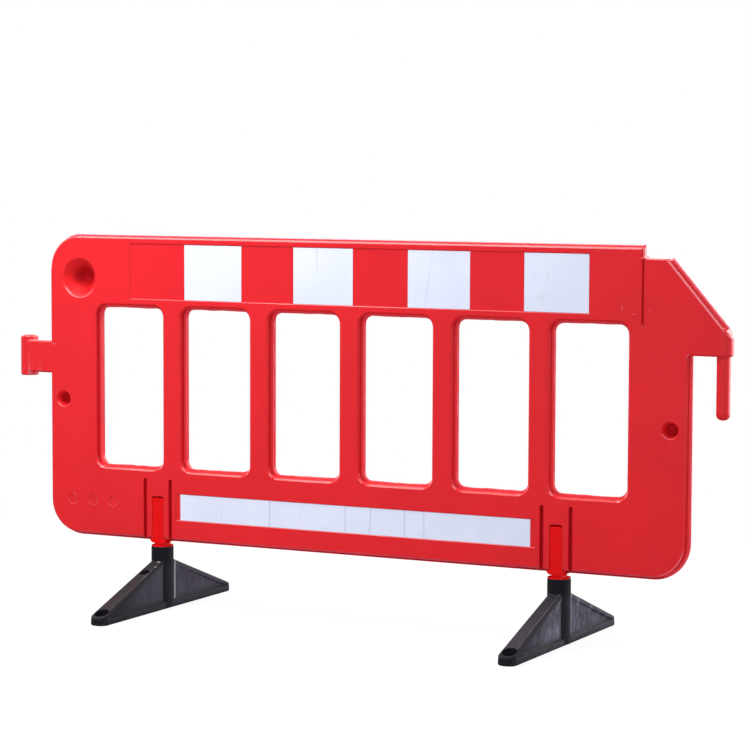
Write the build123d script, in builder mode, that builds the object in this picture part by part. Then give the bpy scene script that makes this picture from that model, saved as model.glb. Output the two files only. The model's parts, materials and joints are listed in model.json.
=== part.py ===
from build123d import *
import math
import os

# A plastic safety fence panel on two swivelling rubber feet.
# X runs along the fence, -Y is the front, Z is up from the ground. All sizes are in millimetres.

# Panel: one hollow moulding, with a rim along the parting line in its middle plane
panel_length = 1845.0
panel_height = 818.0
panel_thickness = 48.0
wall = 4.5
corner_radius = 95.0
edge_chamfer = 4.5
rim_height = 7.0
rim_thickness = 10.0
rim_chamfer = 3.0

# Windows
window_count = 6
window_pitch = 265.0
window_shift = -3.0
window_width = 209.0
window_radius = 30.0
window_rim = 6.0
top_rail = 189.5
bottom_rail = 190.0

# Arm with the link pin, at the right
link_reach = 77.5
rail_setback = 124.5
rail_end_bevel = 14.0
arm_drop = 32.0
arm_height = 233.0
arm_flat = 64.0
arm_inner_radius = 6.0
arm_rim_start = 5.0
arm_rim_end = 22.0
step_radius = 4.0
collar_height = 48.0
collar_length = 30.0
pin_diameter = 34.0
pin_length = 154.0
pin_end_radius = 14.0

# Link eye, at the left
eye_gap = 16.5
eye_height = 108.5
eye_bore_clearance = 4.0
eye_lip_chamfer = 3.0
tab_inset = 10.25
tab_root = 10.0

# Shallow fields for the reflective films, the same on both faces
field_depth = 2.0
field_draft = 30.0
field_length = 1324.0
field_height = 149.5
field_drop = 23.0
strip_field_length = 1042.0
strip_field_height = 72.5
strip_field_rise = 59.0

# Reflective films, one in every second cell of the field, stuck on by hand a little to one side
film_thickness = 0.5
film_overlap = 7.5
film_gap = 0.85
film_shifts = (7.0, 3.8, 2.8, -7.0)
strip_gap = 0.45
strip_end_gap = 12.6

# Grooves pressed into both faces
groove_draft = 20.0
foot_groove_width = 11.0
foot_groove_depth = 8.0
foot_groove_height = 168.0
foot_groove_offset = 39.0
arm_groove_offset = 2.0
arm_groove_width = 7.0
arm_groove_depth = 6.0
arm_groove_length = 165.0

# Blind cones pressed into the faces, and the mould's plain date rings
large_cone_inset = 100.5
large_cone_drop = 119.0
large_cone_diameter = 105.0
large_cone_end_diameter = 36.0
small_cone_inset = 48.5
small_cone_rise = 370.0
small_cone_diameter = 44.0
small_cone_end_diameter = 26.0
date_ring_count = 3
date_ring_diameter = 30.0
date_ring_line = 2.0
date_ring_height = 0.6
date_ring_inset = 140.5
date_ring_rise = 97.7
date_ring_pitch = 63.7

# Pegs that carry the panel on its feet
foot_pitch = 1154.0
notch_width = 35.0
notch_height = 120.5
notch_radius = 5.0
notch_edge_chamfer = 1.2
tongue_clearance = 0.8
tongue_gap = 4.0
tongue_chamfer = 2.0
tongue_setback = 1.0
wing_width = 50.0
wing_height = 12.0
wing_chamfer = 7.0
neck_width = 27.0
neck_depth = 38.0
neck_height = 7.3
disc_diameter = 58.0
disc_thickness = 3.0
disc_gap = 0.2
spindle_diameter = 36.0
spindle_clearance = 0.1
spindle_end_gap = 2.0
spigot_diameter = 20.0

# Rubber feet
foot_length = 660.0
foot_width = 50.0
foot_corner = 22.0
foot_draft = 3.2
foot_edge = 3.0
tip_height = 19.0
boss_diameter = 59.5
boss_top = 166.5
boss_chamfer = 1.5
ridge_depth = 8.0
ridge_top = 131.0
ridge_top_length = 44.0
ridge_edge_chamfer = 2.5
flange_height = 14.0
pocket_draft = 40.0
web_thickness = 34.0
tip_hole_diameter = 38.0
tip_hole_setback = 30.0
tip_hole_floor = 8.0
pin_hole_diameter = 12.0
slope_hole_diameter = 26.0
slope_hole_reach = 89.0
slope_hole_depth = 30.0

# Screw and washer that keep each foot on its peg
recess_depth = 40.0
floor_thickness = 18.0
end_play = 0.4
counterbore_clearance = 2.0
washer_diameter = 40.0
washer_thickness = 3.0
screw_diameter = 10.0
screw_length = 60.0
screw_hole_clearance = 0.1
screw_head_across_flats = 17.0
screw_head_height = 7.0

# Heights of the peg, from the foot's boss up to the panel it carries
disc_bottom = boss_top + disc_gap
disc_top = disc_bottom + disc_thickness
wing_bottom = disc_top + neck_height
wing_top = wing_bottom + wing_height
wall_bottom = wing_top
panel_bottom = wall_bottom - rim_height

# Places on the panel
half_thickness = panel_thickness / 2
panel_top = panel_bottom + panel_height
wall_x = panel_length / 2 - rim_height
wall_top = panel_top - rim_height
wall_corner = corner_radius - rim_height
window_bottom = panel_bottom + bottom_rail
window_height = panel_height - bottom_rail - top_rail
window_z = window_bottom + window_height / 2
link_pitch = panel_length + 2 * link_reach
link_x = link_pitch / 2
rail_end = panel_length / 2 - rail_setback
arm_top = panel_top - arm_drop
arm_bottom = arm_top - arm_height
arm_flat_end = rail_end + arm_flat
arm_end = link_x + half_thickness
arm_groove_x = rail_end + arm_groove_offset
arm_fall = (arm_height - collar_height) / (arm_end - arm_flat_end)
eye_top = arm_bottom - eye_gap
eye_bottom = eye_top - eye_height
film_z = panel_top - field_drop - field_height / 2
strip_z = panel_bottom + strip_field_rise + strip_field_height / 2
film_seat = half_thickness - field_depth
field_slant = field_depth * math.tan(math.radians(field_draft))
film_cell = field_length / (2 * len(film_shifts))
film_width = film_cell + film_overlap
film_height = field_height - 2 * field_slant - 2 * film_gap
strip_length = strip_field_length - 2 * field_slant - 2 * strip_end_gap
strip_height = strip_field_height - 2 * field_slant - 2 * strip_gap
large_cone_x = large_cone_inset - panel_length / 2
large_cone_z = panel_top - large_cone_drop
large_cone_depth = panel_thickness - 2 * wall
small_cone_x = panel_length / 2 - small_cone_inset
small_cone_z = panel_bottom + small_cone_rise
small_cone_depth = half_thickness - wall
date_ring_x = date_ring_inset - panel_length / 2
date_ring_z = panel_bottom + date_ring_rise
front_face = Plane.XZ.offset(half_thickness)

# Places on the pegs and feet
foot_x = foot_pitch / 2
notch_top = panel_bottom + notch_height
tongue_top = notch_top - tongue_gap
tongue_width = notch_width - 2 * tongue_clearance
tongue_depth = panel_thickness - 2 * tongue_setback
floor_top = recess_depth + floor_thickness
spindle_bottom = floor_top + spindle_end_gap
spigot_bottom = recess_depth - end_play
washer_bottom = spigot_bottom - washer_thickness
screw_tip = washer_bottom + screw_length
tip_hole_reach = foot_length / 2 - tip_hole_setback
ridge_fall = (ridge_top - tip_height) / (foot_length / 2 - ridge_top_length / 2)
pocket_reach = foot_length / 2 - (flange_height + ridge_depth - tip_height) / ridge_fall
slope_hole_top = ridge_top - (slope_hole_reach - ridge_top_length / 2) * ridge_fall
slope_hole_bottom = slope_hole_top - slope_hole_depth

os.makedirs("parts", exist_ok=True)


def save(builder, name):
    """Label a finished piece and write it to its own file."""
    builder.part.label = name
    export_step(builder.part, f"parts/{name}.step")


def round_outer_corners(radius):
    """Round the open sketch's two left corners and its bottom right one."""
    left_corners = vertices().group_by(Axis.X)[0]
    bottom_right = vertices().group_by(Axis.Y)[0].sort_by(Axis.X)[-1]
    fillet([*left_corners, bottom_right], radius)


def wall_outline(right_end):
    """Draw the panel's wall outline, with its arm cut off at right_end, in the open sketch."""
    Polygon(
        (-wall_x, wall_bottom),
        (wall_x, wall_bottom),
        (wall_x, arm_bottom),
        (right_end, arm_bottom),
        (right_end, arm_top - (right_end - arm_flat_end) * arm_fall),
        (arm_flat_end, arm_top),
        (rail_end, arm_top),
        (rail_end, wall_top),
        (-wall_x, wall_top),
        align=None,
    )
    round_outer_corners(wall_corner)
    fillet(vertices().sort_by_distance((wall_x, arm_bottom))[0], arm_inner_radius)
    fillet(vertices().sort_by_distance((rail_end, arm_top))[0], step_radius)


# Rim plate: its edge stands out of the outer walls and of the window walls
with BuildPart() as rim:
    with BuildSketch(Plane.XZ) as rim_outline:
        Polygon(
            (-panel_length / 2, panel_bottom),
            (panel_length / 2, panel_bottom),
            (panel_length / 2, arm_bottom + wall),
            (rail_end, arm_top - wall),
            (rail_end, panel_top),
            (-panel_length / 2, panel_top),
            align=None,
        )
        round_outer_corners(corner_radius)
        with Locations((window_shift, window_z)):
            with GridLocations(window_pitch, 0, window_count, 1):
                RectangleRounded(
                    window_width - 2 * window_rim,
                    window_height - 2 * window_rim,
                    window_radius - window_rim,
                    mode=Mode.SUBTRACT,
                )
        for x in (-foot_x, foot_x):
            with Locations((x, panel_bottom)):
                Rectangle(notch_width - 2 * window_rim, 2 * notch_height, mode=Mode.SUBTRACT)
    extrude(amount=rim_thickness / 2, both=True)
    arm_slope = math.atan(arm_fall)
    slope_plane = Plane(
        origin=(arm_flat_end, 0, arm_top),
        x_dir=(math.cos(arm_slope), 0, -math.sin(arm_slope)),
        z_dir=(0, -1, 0),
    )
    slope_length = (arm_end - arm_flat_end) / math.cos(arm_slope)
    with BuildSketch(slope_plane) as arm_rim:
        with Locations((arm_rim_start, rim_height)):
            Rectangle(
                slope_length - arm_rim_start - arm_rim_end,
                rim_height + 2 * wall,
                align=(Align.MIN, Align.MAX),
            )
    extrude(amount=rim_thickness / 2, both=True)
    outer_wires = [f.outer_wire() for f in rim.faces().filter_by(Axis.Y)]
    chamfer(ShapeList(outer_wires).edges(), rim_chamfer)

# Link eye: a tab flush with both faces, with a round sleeve at its end
with BuildPart() as eye:
    with BuildSketch(Plane.XZ) as tab:
        with Locations((-link_x, eye_bottom + tab_inset)):
            Rectangle(link_x - wall_x + tab_root, eye_height - 2 * tab_inset, align=(Align.MIN, Align.MIN))
    extrude(amount=half_thickness, both=True)
    chamfer(eye.edges().filter_by(Axis.X), edge_chamfer)
    with BuildSketch(Plane.XY.offset(eye_bottom)) as sleeve:
        with Locations((-link_x, 0)):
            Circle(half_thickness)
    extrude(amount=eye_height)
    ends = eye.faces().filter_by(Axis.Z)
    chamfer((ends.sort_by(Axis.Z)[0] + ends.sort_by(Axis.Z)[-1]).edges(), eye_lip_chamfer)
    with BuildSketch(Plane.XY.offset(eye_bottom)) as eye_bore:
        with Locations((-link_x, 0)):
            Circle((pin_diameter + eye_bore_clearance) / 2)
    extrude(amount=eye_height, mode=Mode.SUBTRACT)

# What is pressed into each face: film fields, grooves and small blind cones
with BuildPart() as face_details:
    press_plane = Plane(origin=(0, -half_thickness, 0), x_dir=(-1, 0, 0), z_dir=(0, 1, 0))
    with BuildSketch(press_plane) as fields:
        with Locations((0, film_z)):
            Rectangle(field_length, field_height)
        with Locations((0, strip_z)):
            Rectangle(strip_field_length, strip_field_height)
    extrude(amount=field_depth, taper=field_draft)
    with BuildSketch(press_plane) as foot_grooves:
        for x in (-foot_x, foot_x):
            with Locations((x, panel_bottom)):
                with GridLocations(2 * foot_groove_offset, 0, 2, 1):
                    SlotOverall(2 * foot_groove_height, foot_groove_width, rotation=90)
    extrude(amount=foot_groove_depth, taper=groove_draft)
    with BuildSketch(press_plane) as arm_groove:
        with Locations((-arm_groove_x, arm_top - arm_groove_length / 2)):
            SlotOverall(arm_groove_length, arm_groove_width, rotation=90)
    extrude(amount=arm_groove_depth, taper=groove_draft)
    for x in (-small_cone_x, small_cone_x):
        with Locations(Plane(origin=(x, -half_thickness, small_cone_z), z_dir=(0, 1, 0))):
            Cone(
                small_cone_diameter / 2,
                small_cone_end_diameter / 2,
                small_cone_depth,
                align=(Align.CENTER, Align.CENTER, Align.MIN),
            )

# The hollow inside the moulding, one wall in from every surface
with BuildPart() as hollow:
    with BuildSketch(Plane.XZ) as hollow_outline:
        wall_outline(link_x - collar_length)
        offset(amount=-wall)
        with Locations((window_shift, window_z)):
            with GridLocations(window_pitch, 0, window_count, 1):
                Rectangle(window_width + 2 * wall, window_height + 2 * wall, mode=Mode.SUBTRACT)
        for x in (-foot_x, foot_x):
            with Locations((x, panel_bottom)):
                Rectangle(notch_width + 2 * wall, 2 * (notch_height + wall), mode=Mode.SUBTRACT)
                with GridLocations(2 * foot_groove_offset, 0, 2, 1):
                    Rectangle(
                        foot_groove_width + 2 * wall,
                        2 * (foot_groove_height + wall),
                        mode=Mode.SUBTRACT,
                    )
        with Locations((-small_cone_x, small_cone_z), (small_cone_x, small_cone_z)):
            Circle(small_cone_diameter / 2 + wall, mode=Mode.SUBTRACT)
        with Locations((arm_groove_x, arm_top)):
            Rectangle(
                arm_groove_width + 2 * wall,
                arm_groove_length + wall,
                align=(Align.CENTER, Align.MAX),
                mode=Mode.SUBTRACT,
            )
        with Locations((rail_end, arm_top - wall)):
            Rectangle(
                rail_end_bevel + wall,
                arm_drop,
                align=(Align.MAX, Align.MIN),
                mode=Mode.SUBTRACT,
            )
        with Locations((large_cone_x, large_cone_z)):
            Circle(large_cone_diameter / 2 + wall, mode=Mode.SUBTRACT)
    extrude(amount=half_thickness - wall, both=True)

with BuildPart() as panel:
    with BuildSketch(Plane.XZ) as outline:
        wall_outline(arm_end)
    extrude(amount=half_thickness, both=True)
    with BuildSketch(Plane.XY) as plan:
        with Locations((link_x, 0)):
            Circle(half_thickness)
            Rectangle(2 * link_pitch, panel_thickness, align=(Align.MAX, Align.CENTER))
    extrude(amount=panel_top, mode=Mode.INTERSECT)
    big_faces = panel.faces().filter_by(Axis.Y)
    arm_round = panel.faces().filter_by(GeomType.CYLINDER).sort_by(Axis.X)[-1]
    arm_seams = big_faces.edges().filter_by(Axis.Z).sort_by(Axis.X)[-2:]
    chamfer([e for e in big_faces.edges() + arm_round.edges() if e not in arm_seams], edge_chamfer)
    with BuildSketch(Plane.XZ) as windows:
        with Locations((window_shift, window_z)):
            with GridLocations(window_pitch, 0, window_count, 1):
                RectangleRounded(window_width, window_height, window_radius)
    extrude(amount=half_thickness, both=True, mode=Mode.SUBTRACT)
    for face in panel.faces().filter_by(Axis.Y):
        chamfer(face.inner_wires().edges(), edge_chamfer)
    with BuildSketch(Plane.XZ) as notches:
        for x in (-foot_x, foot_x):
            with Locations((x, panel_bottom)):
                Rectangle(notch_width, 2 * notch_height)
        fillet(notches.vertices().group_by(Axis.Y)[-1], notch_radius)
    extrude(amount=half_thickness, both=True, mode=Mode.SUBTRACT)
    notch_edges = panel.edges(Select.NEW).group_by(Axis.Y)
    chamfer(notch_edges[0] + notch_edges[-1], notch_edge_chamfer)
    add(rim.part)
    with BuildSketch(Plane.XY.offset(arm_top)) as rail_bevel:
        Polygon(
            (rail_end, rim_thickness / 2),
            (rail_end, half_thickness),
            (rail_end - rail_end_bevel, half_thickness),
            align=None,
        )
    extrude(amount=arm_drop, mode=Mode.SUBTRACT)
    add(eye.part)
    with BuildSketch(Plane.XY.offset(arm_bottom + edge_chamfer)) as pin_section:
        with Locations((link_x, 0)):
            Circle(pin_diameter / 2)
    extrude(amount=-pin_length - edge_chamfer)
    fillet(panel.faces().sort_by_distance((link_x, 0, arm_bottom - pin_length))[0].edges(), pin_end_radius)
    add(face_details.part, mode=Mode.SUBTRACT)
    mirror(face_details.part, about=Plane.XZ, mode=Mode.SUBTRACT)
    with Locations(Plane(origin=(large_cone_x, -half_thickness, large_cone_z), z_dir=(0, 1, 0))):
        Cone(
            large_cone_diameter / 2,
            large_cone_end_diameter / 2,
            large_cone_depth,
            align=(Align.CENTER, Align.CENTER, Align.MIN),
            mode=Mode.SUBTRACT,
        )
    with BuildSketch(front_face) as date_rings:
        with Locations((date_ring_x, date_ring_z)):
            with GridLocations(date_ring_pitch, 0, date_ring_count, 1):
                Circle(date_ring_diameter / 2)
                Circle(date_ring_diameter / 2 - date_ring_line, mode=Mode.SUBTRACT)
    extrude(amount=date_ring_height)
    add(hollow.part, mode=Mode.SUBTRACT)
save(panel, "panel")

# Reflective films, stuck in the fields of both faces
for face_name, face_side in (("front", 1), ("rear", -1)):
    film_plane = Plane(
        origin=(0, -face_side * film_seat, 0),
        x_dir=(face_side, 0, 0),
        z_dir=(0, -face_side, 0),
    )
    for number, film_shift in enumerate(film_shifts):
        cell_start = (2 * number + 1) * film_cell - field_length / 2
        film_x = cell_start + film_cell / 2 + film_shift
        with BuildPart() as film:
            with BuildSketch(film_plane) as film_shape:
                with Locations((film_x, film_z)):
                    Rectangle(film_width, film_height)
            extrude(amount=film_thickness)
        save(film, f"{face_name}_film_{number + 1}")
    with BuildPart() as strip:
        with BuildSketch(film_plane) as strip_shape:
            with Locations((0, strip_z)):
                Rectangle(strip_length, strip_height)
        extrude(amount=film_thickness)
    save(strip, f"{face_name}_strip")

for side_name, side in (("left", -1), ("right", 1)):
    axis_x = side * foot_x

    # Peg: a tongue in the panel's notch, wings under the panel, and a spindle down into the foot
    with BuildPart() as peg:
        with BuildSketch(Plane.XZ) as tongue:
            with Locations((axis_x, wing_top)):
                Rectangle(tongue_width, tongue_top - wing_top, align=(Align.CENTER, Align.MIN))
        extrude(amount=tongue_depth / 2, both=True)
        chamfer(peg.faces().sort_by(Axis.Z)[-1].edges(), tongue_chamfer)
        with BuildSketch(Plane.XZ) as wings:
            with Locations((axis_x, wing_bottom)):
                Rectangle(wing_width, wing_height, align=(Align.CENTER, Align.MIN))
            chamfer(wings.vertices().group_by(Axis.Y)[0], wing_chamfer)
        extrude(amount=tongue_depth / 2, both=True)
        with BuildSketch(Plane.XZ) as rim_grooves:
            with Locations((axis_x, wing_bottom)):
                Rectangle(wing_width, tongue_top - wing_bottom, align=(Align.CENTER, Align.MIN))
                Rectangle(
                    tongue_width - 2 * window_rim,
                    tongue_top - wing_bottom,
                    align=(Align.CENTER, Align.MIN),
                    mode=Mode.SUBTRACT,
                )
        extrude(amount=rim_thickness / 2 + tongue_clearance, both=True, mode=Mode.SUBTRACT)
        with BuildSketch(Plane.XY.offset(disc_top)) as neck:
            with Locations((axis_x, 0)):
                Rectangle(neck_width, neck_depth)
        extrude(amount=neck_height)
        for diameter, low, high in (
            (disc_diameter, disc_bottom, disc_top),
            (spindle_diameter, spindle_bottom, disc_bottom),
            (spigot_diameter, spigot_bottom, spindle_bottom),
        ):
            with BuildSketch(Plane.XY.offset(low)) as round_section:
                with Locations((axis_x, 0)):
                    Circle(diameter / 2)
            extrude(amount=high - low)
        with BuildSketch(Plane.XY.offset(spigot_bottom)) as screw_hole:
            with Locations((axis_x, 0)):
                Circle(screw_diameter / 2 + screw_hole_clearance)
        extrude(amount=screw_tip - spigot_bottom, mode=Mode.SUBTRACT)
    save(peg, f"{side_name}_peg")

    # Foot: a drafted wedge with pockets in both sides, and a boss that turns on the peg
    with BuildPart() as foot:
        with BuildSketch(Plane.YZ.offset(axis_x)) as wedge:
            Polygon(
                (-foot_length / 2, 0),
                (foot_length / 2, 0),
                (foot_length / 2, tip_height),
                (ridge_top_length / 2, ridge_top),
                (-ridge_top_length / 2, ridge_top),
                (-foot_length / 2, tip_height),
                align=None,
            )
        extrude(amount=foot_width / 2, both=True)
        with BuildSketch(Plane.XY) as footprint:
            with Locations((axis_x, 0)):
                RectangleRounded(foot_width, foot_length, foot_corner)
        extrude(amount=ridge_top, taper=foot_draft, mode=Mode.INTERSECT)
        slopes = foot.faces().sort_by(Axis.Z)[-3:-1]
        chamfer(slopes.edges().sort_by(Axis.Z)[:-2], ridge_edge_chamfer)
        chamfer(foot.faces().sort_by(Axis.Z)[0].edges(), foot_edge)
        for wall_side in (-1, 1):
            pocket_plane = Plane(
                origin=(axis_x + wall_side * foot_width / 2, 0, 0),
                x_dir=(0, -wall_side, 0),
                z_dir=(-wall_side, 0, 0),
            )
            with BuildSketch(pocket_plane) as pocket:
                Polygon(
                    (-pocket_reach, flange_height),
                    (pocket_reach, flange_height),
                    (ridge_top_length / 2, ridge_top - ridge_depth),
                    (-ridge_top_length / 2, ridge_top - ridge_depth),
                    align=None,
                )
            extrude(amount=(foot_width - web_thickness) / 2, taper=pocket_draft, mode=Mode.SUBTRACT)
        with BuildSketch(Plane.XY.offset(foot_edge)) as boss:
            with Locations((axis_x, 0)):
                Circle(boss_diameter / 2)
        extrude(amount=boss_top - foot_edge)
        chamfer(foot.faces().sort_by(Axis.Z)[-1].edges(), boss_chamfer)
        for diameter, low, high in (
            (spindle_diameter + 2 * spindle_clearance, floor_top, boss_top),
            (spigot_diameter + 2 * spindle_clearance, recess_depth, floor_top),
            (washer_diameter + 2 * counterbore_clearance, 0, recess_depth),
        ):
            with BuildSketch(Plane.XY.offset(low)) as bore_section:
                with Locations((axis_x, 0)):
                    Circle(diameter / 2)
            extrude(amount=high - low, mode=Mode.SUBTRACT)
        with BuildSketch(Plane.XY.offset(tip_hole_floor)) as tip_holes:
            with Locations((axis_x, -tip_hole_reach), (axis_x, tip_hole_reach)):
                Circle(tip_hole_diameter / 2)
        extrude(amount=ridge_top - tip_hole_floor, mode=Mode.SUBTRACT)
        with BuildSketch(Plane.XY) as pin_holes:
            with Locations((axis_x, -tip_hole_reach), (axis_x, tip_hole_reach)):
                Circle(pin_hole_diameter / 2)
        extrude(amount=tip_hole_floor, mode=Mode.SUBTRACT)
        with BuildSketch(Plane.XY.offset(slope_hole_bottom)) as slope_hole:
            with Locations((axis_x, side * slope_hole_reach)):
                Circle(slope_hole_diameter / 2)
        extrude(amount=ridge_top - slope_hole_bottom, mode=Mode.SUBTRACT)
    save(foot, f"{side_name}_foot")

    with BuildPart() as washer:
        with BuildSketch(Plane.XY.offset(washer_bottom)) as washer_shape:
            with Locations((axis_x, 0)):
                Circle(washer_diameter / 2)
                Circle(screw_diameter / 2 + screw_hole_clearance, mode=Mode.SUBTRACT)
        extrude(amount=washer_thickness)
    save(washer, f"{side_name}_washer")

    with BuildPart() as screw:
        with BuildSketch(Plane.XY.offset(washer_bottom)) as screw_head:
            with Locations((axis_x, 0)):
                RegularPolygon(screw_head_across_flats / 2, 6, major_radius=False)
        extrude(amount=-screw_head_height)
        with BuildSketch(Plane.XY.offset(washer_bottom)) as screw_shank:
            with Locations((axis_x, 0)):
                Circle(screw_diameter / 2)
        extrude(amount=screw_length)
    save(screw, f"{side_name}_screw")
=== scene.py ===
import json
import math
from collections import namedtuple

import bpy
from mathutils import Matrix, Vector
from mathutils import noise as ripple


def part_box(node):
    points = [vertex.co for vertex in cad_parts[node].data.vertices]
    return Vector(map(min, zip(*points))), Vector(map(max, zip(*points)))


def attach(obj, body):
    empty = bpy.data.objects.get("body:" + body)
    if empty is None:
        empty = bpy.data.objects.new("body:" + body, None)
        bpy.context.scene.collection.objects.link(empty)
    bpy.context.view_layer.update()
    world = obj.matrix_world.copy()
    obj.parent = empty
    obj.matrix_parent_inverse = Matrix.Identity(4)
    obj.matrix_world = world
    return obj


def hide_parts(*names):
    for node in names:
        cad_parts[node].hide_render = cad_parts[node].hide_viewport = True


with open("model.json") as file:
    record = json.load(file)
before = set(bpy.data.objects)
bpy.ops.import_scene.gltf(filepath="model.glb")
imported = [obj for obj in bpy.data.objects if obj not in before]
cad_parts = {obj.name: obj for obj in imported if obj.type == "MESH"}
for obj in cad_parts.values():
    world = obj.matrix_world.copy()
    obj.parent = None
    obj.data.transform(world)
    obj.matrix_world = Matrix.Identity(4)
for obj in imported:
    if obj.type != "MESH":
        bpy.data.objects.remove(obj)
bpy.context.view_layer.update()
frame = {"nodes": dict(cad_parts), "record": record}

# Camera, fitted to the photograph
PHOTO_PIXELS = 750
FOCAL_PIXELS = 2670.0
SENSOR_MM = 36.0
CAMERA_PLACE = Vector((3.150, -6.073, 1.222))
CAMERA_YAW = math.radians(26.96)
CAMERA_PITCH = math.radians(4.78)
CAMERA_ROLL = math.radians(0.2)

# Studio
FLOOR_SIZE = 60.0
FLOOR_DROP = 0.001
FLOOR_GLOW = 0.90
FLOOR_SEEN = (0.13, 0.125, 0.115, 1.0)
FLOOR_BOUNCE = (0.60, 0.60, 0.63, 1.0)
FLOOR_MIRROR_NEAR = (0.05, 0.05, 0.055, 1.0)
FLOOR_MIRROR_FAR = (0.62, 0.62, 0.66, 1.0)
FLOOR_MIRROR_RAMP = (2.0, 6.0)
FLOOR_FADE_RAMP = (1.2, 2.4)
AMBIENT_LEFT = (0.25, 0.26, 0.32, 1.0)
AMBIENT_RIGHT = (0.74, 0.76, 0.90, 1.0)
AMBIENT_BACK = (0.56, 0.57, 0.67, 1.0)
MIRROR_FRONT = (0.25, 0.25, 0.28, 1.0)
MIRROR_BACK = (3.2, 3.1, 3.2, 1.0)
WORLD_BEHIND_RAMP = (-0.2, 0.4)
WORLD_RIGHT_RAMP = (-0.6, 0.6)
WHITE = (1.0, 1.0, 1.0, 1.0)

# Softboxes: place, target, width, height, watts
Lamp = namedtuple("Lamp", "name place target width height power")
LAMPS = (
    Lamp("overhead", (-1.0, -1.0, 2.5), (-0.5, 0.0, 0.6), 0.6, 0.6, 41.0),
    Lamp("top", (-1.2, -0.15, 3.4), (-0.1, 0.0, 0.6), 0.5, 2.8, 39.5),
    Lamp("right_top", (2.3, -0.75, 2.9), (0.9, 0.0, 0.85), 1.4, 1.4, 11.0),
    Lamp("right_low", (2.6, 2.2, 1.1), (0.4, 0.0, 0.5), 2.0, 2.0, 47.0),
    Lamp("front", (1.6, -5.2, 2.0), (0.0, 0.0, 0.5), 2.0, 2.0, 21.5),
)

# Colours, linear
PANEL_RED = (0.86, 0.016, 0.021, 1.0)
PANEL_RED_DEEP = (0.76, 0.012, 0.016, 1.0)
# Painted light on the rim, as if lit through where it is thin, and a painted highlight where it faces up
PANEL_RIM_LIGHT = (1.0, 0.065, 0.080, 1.0)
PANEL_RIM_HIGHLIGHT = (1.0, 0.42, 0.48, 1.0)
# Pale worn edges; also the painted light below the plain rings
PANEL_WEAR_AND_LIGHT = (0.92, 0.16, 0.18, 1.0)
# Scuffs and scratches; also painted highlights on steps, chamfers and the cones' lower lips and walls
PANEL_SCUFF_AND_HIGHLIGHT = (0.90, 0.36, 0.38, 1.0)
PANEL_DIRT = (0.24, 0.012, 0.018, 1.0)
# Painted shade in walls, cones, grooves, steps, rings and the lower rim
PANEL_PAINTED_SHADE = (0.46, 0.005, 0.008, 1.0)
# Painted reflection of the floor on the lower chamfer
PANEL_LOW_EDGE_REFLECTION = (0.62, 0.13, 0.18, 1.0)
PANEL_END_LIGHT = (1.0, 0.14, 0.17, 1.0)
PEG_RED = (0.94, 0.0038, 0.0038, 1.0)
PEG_RED_DEEP = (0.72, 0.002, 0.002, 1.0)
FILM_WHITE = (0.86, 0.90, 0.965, 1.0)
FILM_SHADE = (0.78, 0.825, 0.92, 1.0)
# Painted shade along the films' creases and below the fold
FILM_CREASE_SHADE = (0.42, 0.44, 0.62, 1.0)
FILM_DIRT = (0.60, 0.60, 0.66, 1.0)
FILM_GLINT = (0.98, 0.98, 1.0, 1.0)
FILM_STAIN = (0.58, 0.53, 0.46, 1.0)
RUBBER_SIDE = (0.052, 0.048, 0.060, 1.0)
RUBBER_TOP_LEFT = (0.030, 0.023, 0.026, 1.0)
RUBBER_TOP_RIGHT = (0.046, 0.041, 0.049, 1.0)
RUBBER_BLACK = (0.0112, 0.0112, 0.0142, 1.0)
# Painted shade in the feet's holes and along the ground
RUBBER_PAINTED_SHADE = (0.002, 0.002, 0.003, 1.0)
# Grey dust; also the painted highlight along the ridge's line and on the rubbed edges
RUBBER_DUST_AND_HIGHLIGHT = (0.19, 0.185, 0.235, 1.0)
# Painted highlight on the moulded edge behind the boss
RUBBER_EDGE_HIGHLIGHT = (0.36, 0.35, 0.38, 1.0)
RUBBER_CHIP = (0.55, 0.50, 0.42, 1.0)
ZINC_LIGHT = (0.66, 0.65, 0.62, 1.0)
ZINC_DARK = (0.42, 0.42, 0.40, 1.0)

# Edges and marks of all finishes: cosine of the turn at an edge, and the full part of a mark
BEVEL_SAMPLES = 10
EDGE_RAMP = (0.995, 0.86)
MARK_CORE = 0.25

# Moulded plastic of the panel and the pegs
LINE_STRETCH = (6.0, 6.0, 520.0)
LINE_GRAIN = (1.0, 4.0)
LINE_SHADE_RAMP = (0.35, 0.75, 0.0, 0.3)
LINE_RELIEF = (0.0003, 0.03)
CLOUD_GRAIN = (3.5, 4.0)
CLOUD_SHADE_RAMP = (0.30, 0.72, 0.0, 0.6)
PEEL_GRAIN = (420.0, 2.0)
PEEL_RELIEF = (0.0004, 0.03)
WEAR_GRAIN = (34.0, 4.0, 0.6)
WEAR_RAMP = (0.36, 0.70, 0.35, 1.0)
PLASTIC_ROUGHNESS_RAMP = (0.25, 0.75, 0.205, 0.265)
PANEL_EDGE_RADIUS = 0.0014
PANEL_WEAR = 0.08
PANEL_SPECULAR = 0.5
PEG_EDGE_RADIUS = 0.0012
PEG_WEAR = 0.15
PEG_SPECULAR = 0.2
PEG_UPWARD_GLOSS_RAMP = (0.5, 0.9, PEG_SPECULAR, 0.0)

# The panel's lower edge: bottom of its faces, height of their chamfer, painted shade on its rim and a
# painted lilac reflection on its chamfer
FACE_BOTTOM = 0.189
FACE_CHAMFER = 0.0034
LOW_RIM_TOP = 0.003
LOW_RIM_FULL = 0.001
LOW_RIM_SHADE = 0.6
LOW_RIM_DEPTH_RAMP = (0.0205, 0.0200)
LOW_EDGE_TOP = 1.2 * FACE_CHAMFER
LOW_EDGE_REFLECTION_TINT = 0.7
LOW_EDGE_DEPTH_RAMP = (0.0203, 0.0208)

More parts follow.
